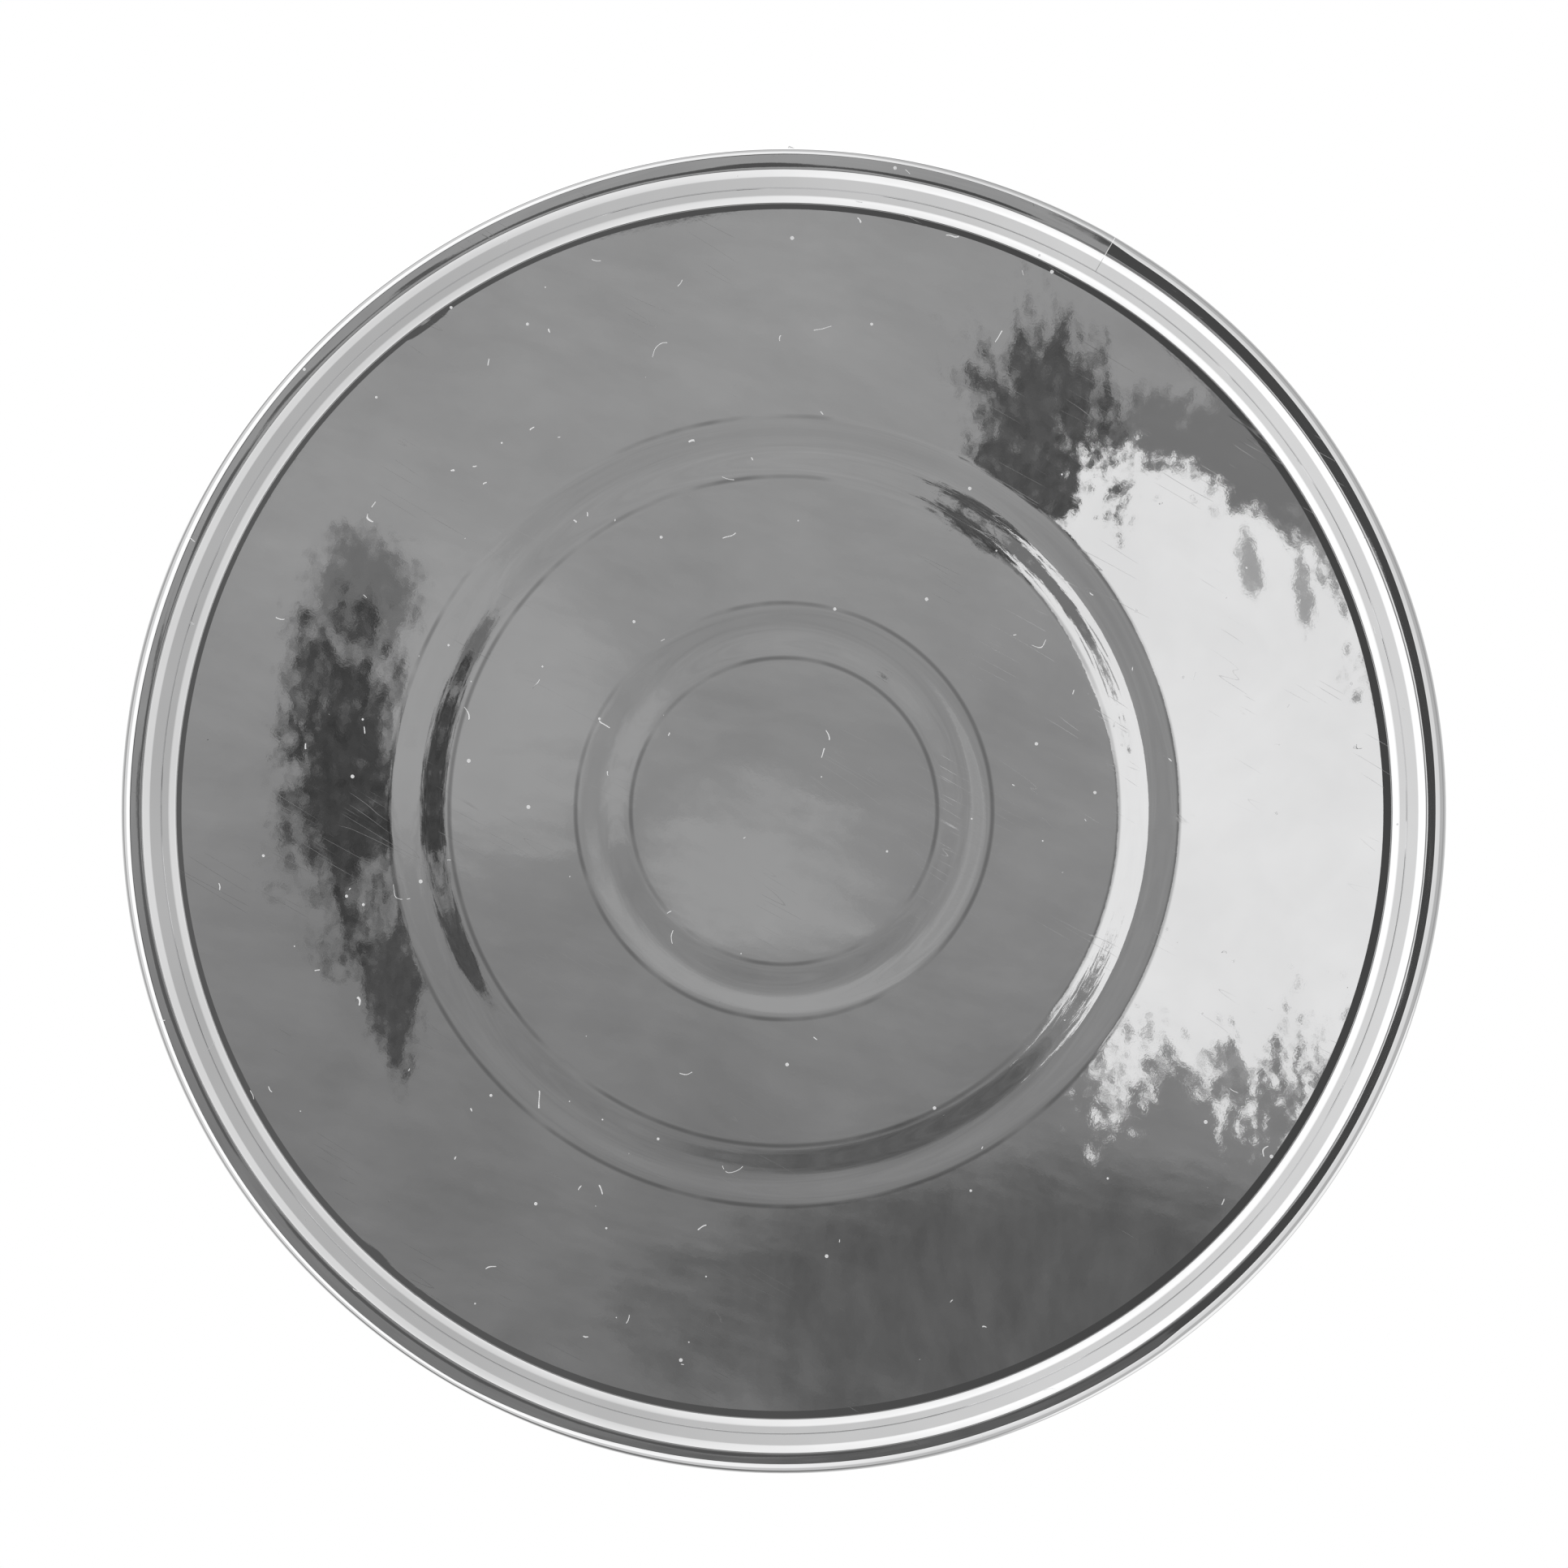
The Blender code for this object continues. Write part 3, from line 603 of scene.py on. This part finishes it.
# The band
def curl_width(angle):
    """How far in from the bead's outermost line its curl starts, at a picture azimuth."""
    for (a0, w0), (a1, w1) in zip(CURL_WIDTHS, CURL_WIDTHS[1:]):
        if a0 <= angle <= a1:
            return 0.001 * (w0 + (w1 - w0) * (angle - a0) / (a1 - a0))


def band_path(angle):
    """The band's sheet from its lip to its rim, at a picture azimuth."""
    half = BAND_SHEET / 2
    wall = WALL_INNER + half
    outer = BEAD_OUTER - half
    roll_height = PAN_HEIGHT - half - RIM_ROLL
    foot_outer = BEAD_OUTER - curl_width(angle)
    lip = from_slopes((BAND_LIP[0][0], 0.0), BAND_LIP)
    drop = half - lip[-1][1]
    path = [(r, z + drop) for r, z in lip]
    path += [(FOOT_INNER + (foot_outer - FOOT_INNER) * i / 10, half) for i in range(1, 10)]
    bend = outer - foot_outer
    for turn in map(math.radians, CURL_TURNS):
        path.append((foot_outer + bend * math.sin(turn), half + bend * (1 - math.cos(turn))))
    neck = half + bend + 0.0003
    path += arc((outer - NECK_ROLL, neck), NECK_ROLL, 8, 58, 8)
    path += arc((wall + NECK_ROLL, WALL_START), NECK_ROLL, 232, 180, 8)
    path += [(wall, height) for height in WALL_HEIGHTS]
    path += arc((wall + RIM_ROLL, roll_height), RIM_ROLL, 180, -140, 28)
    return path


def crest_tip(angle):
    """How far the bead's crest tips inward, in degrees, at a picture azimuth."""
    wave = 0.5 * noise.noise(Vector((angle / 17.0, 3.0, 0.0)))
    if angle < 60:
        return -0.25 + 0.4 * wave
    inward = (1.5 if 243 < angle <= 307 else 1.1) + wave
    return inward + (-0.25 - inward) * max(0.0, min(1.0, (angle - 305) / 3))


def band_warp(point, r):
    """The bead was rolled, so its crest is a little wavy across and tips from place to place."""
    if point.z > 0.004:
        return point
    angle = picture_azimuth(point.x, point.y)
    tip = crest_tip(angle)
    across = max(0.0, min(1.0, (r - FOOT_INNER) / 0.0030))
    shape = (1 - across * across) if tip > 0 else across * across
    lift = 0.0015 * math.tan(math.radians(abs(tip))) * shape
    lift += 0.0000022 * (1 + noise.noise(Vector((angle / 8.0, r * 1100.0, 0.0))))
    return point + Vector((0, 0, lift))


def build_band(material):
    """One strip from the split round the back to the split again."""
    split, quarter = SPLIT_GAP / 2 / WALL_INNER, math.pi / 2

    def outline_at(turn):
        angle = picture_azimuth(math.cos(turn), math.sin(turn))
        return sheet_outline(band_path(angle), BAND_SHEET)

    band = turned("band_strip", outline_at, material, -quarter + split, 2 * math.pi - 2 * split,
                  warp=band_warp)
    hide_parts("band_left", "band_right")
    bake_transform(band)


# The clasp
def rounded(obj, width=0.00016):
    """Rolls the object's sharp edges over a little."""
    bm = bmesh.new()
    bm.from_mesh(obj.data)
    sharp = [edge for edge in bm.edges
             if len(edge.link_faces) == 2 and edge.calc_face_angle(0.0) > math.radians(40)]
    bmesh.ops.bevel(bm, geom=sharp, offset=width, offset_type="OFFSET", segments=2, profile=0.5,
                    affect="EDGES", clamp_overlap=True)
    bm.to_mesh(obj.data)
    bm.free()
    obj.data.shade_smooth()
    obj.data.set_sharp_from_angle(angle=math.radians(50))
    return obj


def joined(name, pieces):
    """One object made of several closed shells."""
    bm = bmesh.new()
    for piece in pieces:
        bm.from_mesh(piece.data)
    bm.to_mesh(pieces[0].data)
    bm.free()
    for piece in pieces[1:]:
        bpy.data.objects.remove(piece, do_unlink=True)
    pieces[0].name = name
    pieces[0].data.shade_smooth()
    pieces[0].data.set_sharp_from_angle(angle=math.radians(50))
    return pieces[0]


def extruded(name, outline, low, high, material):
    """A flat outline raised from one height to another."""
    bm = bmesh.new()
    face = bm.faces.new([bm.verts.new((x, y, low)) for x, y in outline])
    grown = bmesh.ops.extrude_face_region(bm, geom=[face])
    tops = [g for g in grown["geom"] if isinstance(g, bmesh.types.BMVert)]
    bmesh.ops.translate(bm, verts=tops, vec=(0, 0, high - low))
    return finished(bm, name, material)


def on_circle(radius, x, z=0.0):
    """The place on the clasp's side of the pan at that distance from its axis."""
    return Vector((x, -math.sqrt(radius**2 - x**2), z))


def azimuth(radius, x):
    return math.asin(x / radius) - math.pi / 2


def curved_plate(name, inner, sheet, ends, low, high, material):
    """A plate that follows the wall, with rolled edges."""
    start, stop = azimuth(inner, ends[0]), azimuth(inner, ends[1])
    outline = [(inner, low), (inner + sheet, low), (inner + sheet, high), (inner, high)]
    return rounded(turned(name, outline, material, start, stop - start, CURVE_STEPS), sheet * 0.3)


def polar(radius, angle):
    return (radius * math.cos(angle), radius * math.sin(angle))


def build_tongue(material):
    tongue = curved_plate("tongue_strip", TONGUE_INNER, TONGUE_SHEET, TONGUE_ENDS, TONGUE_LOW,
                          TONGUE_HIGH, material)
    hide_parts("seam_tongue")
    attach(tongue, "band_fixed")


def build_bracket(material):
    plate = curved_plate("bracket_plate", BRACKET_INNER, PLATE_SHEET, BRACKET_ENDS,
                         CLASP_HEIGHT - BRACKET_HALF_HEIGHT, CLASP_HEIGHT + BRACKET_HALF_HEIGHT,
                         material)
    pivot = on_circle(PIVOT_RADIUS_FROM_AXIS, PIVOT_X)
    outward = Vector((pivot.x, pivot.y)).normalized()
    across = Vector((-outward.y, outward.x))
    root = outward * (BRACKET_INNER + PLATE_SHEET / 2)
    tip = math.degrees(math.atan2(-across.y, -across.x))
    outline = [tuple(root + across * EAR_RADIUS), tuple(root - across * EAR_RADIUS)]
    outline += arc((pivot.x, pivot.y), EAR_RADIUS, tip, tip + 180, 24)
    ears = [rounded(extruded("ear", outline, CLASP_HEIGHT + low, CLASP_HEIGHT + high, material))
            for low, high in ((EAR_INSIDE, EAR_OUTSIDE), (-EAR_OUTSIDE, -EAR_INSIDE))]
    bracket = joined("bracket_pressing", [plate] + ears)
    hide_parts("lever_bracket")
    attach(bracket, "band_fixed")


def build_pin(material):
    outline = [(r, -z) for r, z in PIN_PROFILE[::-1]] + list(PIN_PROFILE)
    pin = turned("pin_turned", outline, material, steps=PIN_STEPS)
    pin.data.transform(Matrix.Translation(on_circle(PIVOT_RADIUS_FROM_AXIS, PIVOT_X, CLASP_HEIGHT)))
    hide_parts("lever_pivot_pin")
    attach(pin, "band_fixed")


def build_rivets(material):
    shank_end = WALL_INNER + 0.00005
    for group, inner, body in (("bracket", BRACKET_INNER, "band_fixed"),
                               ("catch", CATCH_INNER, "band_moving")):
        outer = inner + PLATE_SHEET
        seat = outer + RIVET_LIFT
        outline = [(0.0, shank_end), (RIVET_SHANK, shank_end), (RIVET_SHANK, seat)]
        outline += [(RIVET_HEAD * math.cos(turn), seat + RIVET_DOME * math.sin(turn))
                    for turn in RIVET_TURNS]
        outline.append((0.0, seat + RIVET_DOME))
        for i, (x, z) in enumerate(RIVETS[group], 1):
            angle = azimuth(outer, x)
            outward = Vector((math.cos(angle), math.sin(angle), 0.0))
            rivet = turned(f"{group}_rivet_dome_{i}", outline, material, steps=RIVET_STEPS)
            lay = outward.to_track_quat("Z", "Y").to_matrix().to_4x4()
            rivet.data.transform(Matrix.Translation((0, 0, CLASP_HEIGHT + z)) @ lay)
            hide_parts(f"{group}_rivet_{i}")
            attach(rivet, body)


def build_catch(material):
    plate = curved_plate("catch_plate", CATCH_INNER, PLATE_SHEET, CATCH_ENDS,
                         CLASP_HEIGHT - CATCH_HALF_HEIGHT, CLASP_HEIGHT + CATCH_HALF_HEIGHT,
                         material)
    bar = on_circle(BAR_RADIUS_FROM_AXIS, BAR_X)
    outward = Vector((bar.x, bar.y)).normalized()
    across = Vector((-outward.y, outward.x))
    upright, top = HOOK_FACE + PLATE_SHEET / 2, HOOK_OUTER - PLATE_SHEET / 2
    path = [(-upright, CATCH_INNER + PLATE_SHEET / 2)]
    path += arc((HOOK_BEND - upright, top - HOOK_BEND), HOOK_BEND, 180, 90, 10)
    path += [(x, top - fall) for x, fall in HOOK_TIP]
    outline = [tuple(across * x + outward * y) for x, y in sheet_outline(path, PLATE_SHEET)]
    hook = rounded(extruded("hook", outline, CLASP_HEIGHT - HOOK_HALF_HEIGHT,
                            CLASP_HEIGHT + HOOK_HALF_HEIGHT, material))
    catch = joined("catch_pressing", [plate, hook])
    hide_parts("catch")
    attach(catch, "band_moving")


def crank_end(pivot):
    """Where the bail's near bar turns in the lever."""
    return pivot + CRANK * Vector((math.cos(CRANK_ANGLE), math.sin(CRANK_ANGLE), 0))


def build_lever(material):
    pivot = on_circle(PIVOT_RADIUS_FROM_AXIS, PIVOT_X)
    pivot_azimuth = azimuth(PIVOT_RADIUS_FROM_AXIS, PIVOT_X)
    bar = crank_end(pivot)

    def at(radius, distance):
        """A place at that distance along the lever from its pivot."""
        return polar(radius, pivot_azimuth - distance / LEVER_OUTER)

    path = []
    for i in range(LEVER_STEPS + 1):
        distance = LEVER_START + (LEVER_LENGTH - LEVER_START) * i / LEVER_STEPS
        past = max(0.0, (distance - (LEVER_LENGTH - LEVER_TIP_LENGTH)) / LEVER_TIP_LENGTH)
        path.append(at((LEVER_INNER + LEVER_OUTER) / 2 + LEVER_TIP_RISE * past**2, distance))
    low, high = CLASP_HEIGHT - LEVER_HALF_HEIGHT, CLASP_HEIGHT + LEVER_HALF_HEIGHT
    web = rounded(extruded("lever_web", sheet_outline(path, LEVER_OUTER - LEVER_INNER), low, high,
                           material))

    # A flange: out along the web, back along its own edge, and round the pivot
    flange_steps, run = 32, LEVER_FLANGE_LENGTH - LEVER_NOSE
    side = [at(LEVER_OUTER - 0.0001, LEVER_NOSE + run * i / flange_steps)
            for i in range(flange_steps + 1)]
    side += [at(radius, distance) for distance, radius in LEVER_FLANGE_EDGE]
    side.append(polar(LEVER_FLANGE_EDGE[-1][1], math.atan2(bar.y, bar.x)))
    inward = math.degrees(math.atan2(-pivot.y, -pivot.x))
    side += arc((pivot.x, pivot.y), LEVER_NOSE, inward + 10, inward - 175, 24)
    flanges = [rounded(extruded("lever_flange", side, z, z + LEVER_SHEET, material))
               for z in (low, high - LEVER_SHEET)]
    lever = joined("lever_pressing", [web] + flanges)
    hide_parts("lever")
    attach(lever, "lever")


def build_bail(material):
    """A wire of round section bent into a closed loop."""
    near = crank_end(on_circle(PIVOT_RADIUS_FROM_AXIS, PIVOT_X))
    far = on_circle(BAR_RADIUS_FROM_AXIS, BAR_X)
    along = (far - near).normalized()
    side = Vector((-along.y, along.x, 0.0))
    left, right = BAIL_CORNER, (far - near).length - BAIL_CORNER
    edge = BAIL_HALF_HEIGHT - BAIL_CORNER
    path = []
    corners = ((left, edge, 180), (right, edge, 90), (right, -edge, 0), (left, -edge, -90))
    for x, z, start in corners:
        path += arc((x, z), BAIL_CORNER, start, start - 90, 12)
    bm = bmesh.new()
    rings = []
    for i, (x, z) in enumerate(path):
        before, after = path[i - 1], path[(i + 1) % len(path)]
        heading = Vector((after[0] - before[0], after[1] - before[1])).normalized()
        normal = along * -heading.y + Vector((0, 0, heading.x))
        centre = near + Vector((0, 0, CLASP_HEIGHT)) + along * x + Vector((0, 0, z))
        turns = (2 * math.pi * j / BAIL_STEPS for j in range(BAIL_STEPS))
        rings.append([bm.verts.new(centre + BAIL_WIRE * (side * math.cos(t) + normal * math.sin(t)))
                      for t in turns])
    for a, b in zip(rings, rings[1:] + rings[:1]):
        for j in range(BAIL_STEPS):
            k = (j + 1) % BAIL_STEPS
            bm.faces.new((a[j], a[k], b[k], b[j]))
    bail = finished(bm, "bail_loop", material)
    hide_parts("bail")
    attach(bail, "bail")


build_world()
build_floor()
build_camera()
build_lamp()

edges = [middle + side * width / 2 for middle, width in CHANNELS for side in (-1, 1)]
tinplate = metal("base_tinplate", 0.92, 0.012, 0.9e-6, 0.25e-6, specks=1.0, painted_shade_radii=edges)
band_tin = metal("band_tinplate", 0.93, 0.02, 0.6e-6, 0.3e-6, specks=0.5)
pressed = metal("pressed_steel", 0.66, 0.20, 3.0e-6, 1.2e-6, brushed=1.2e-6, specks=0.3)
lever_finish = metal("lever_plating", 0.74, 0.13, 3.0e-6, 0.8e-6, specks=0.3, scratches=1.0)
rivet_finish = metal("rivet_plating", 0.70, 0.17, 3.0e-6, 1.0e-6, specks=0.2)
wire = metal("drawn_wire", 0.64, 0.22, 2.0e-6, 1.0e-6, specks=0.2)

build_base(tinplate)
build_band(band_tin)
build_tongue(band_tin)
build_bracket(pressed)
build_catch(pressed)
build_lever(lever_finish)
build_pin(wire)
build_rivets(rivet_finish)
build_bail(wire)
for node in ("rim_wire_left", "rim_wire_right"):
    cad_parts[node].data.materials.clear()
    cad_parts[node].data.materials.append(wire)

bpy.context.scene.view_settings.view_transform = "Standard"
bpy.context.scene.view_settings.look = "None"

bpy.context.view_layer.update()
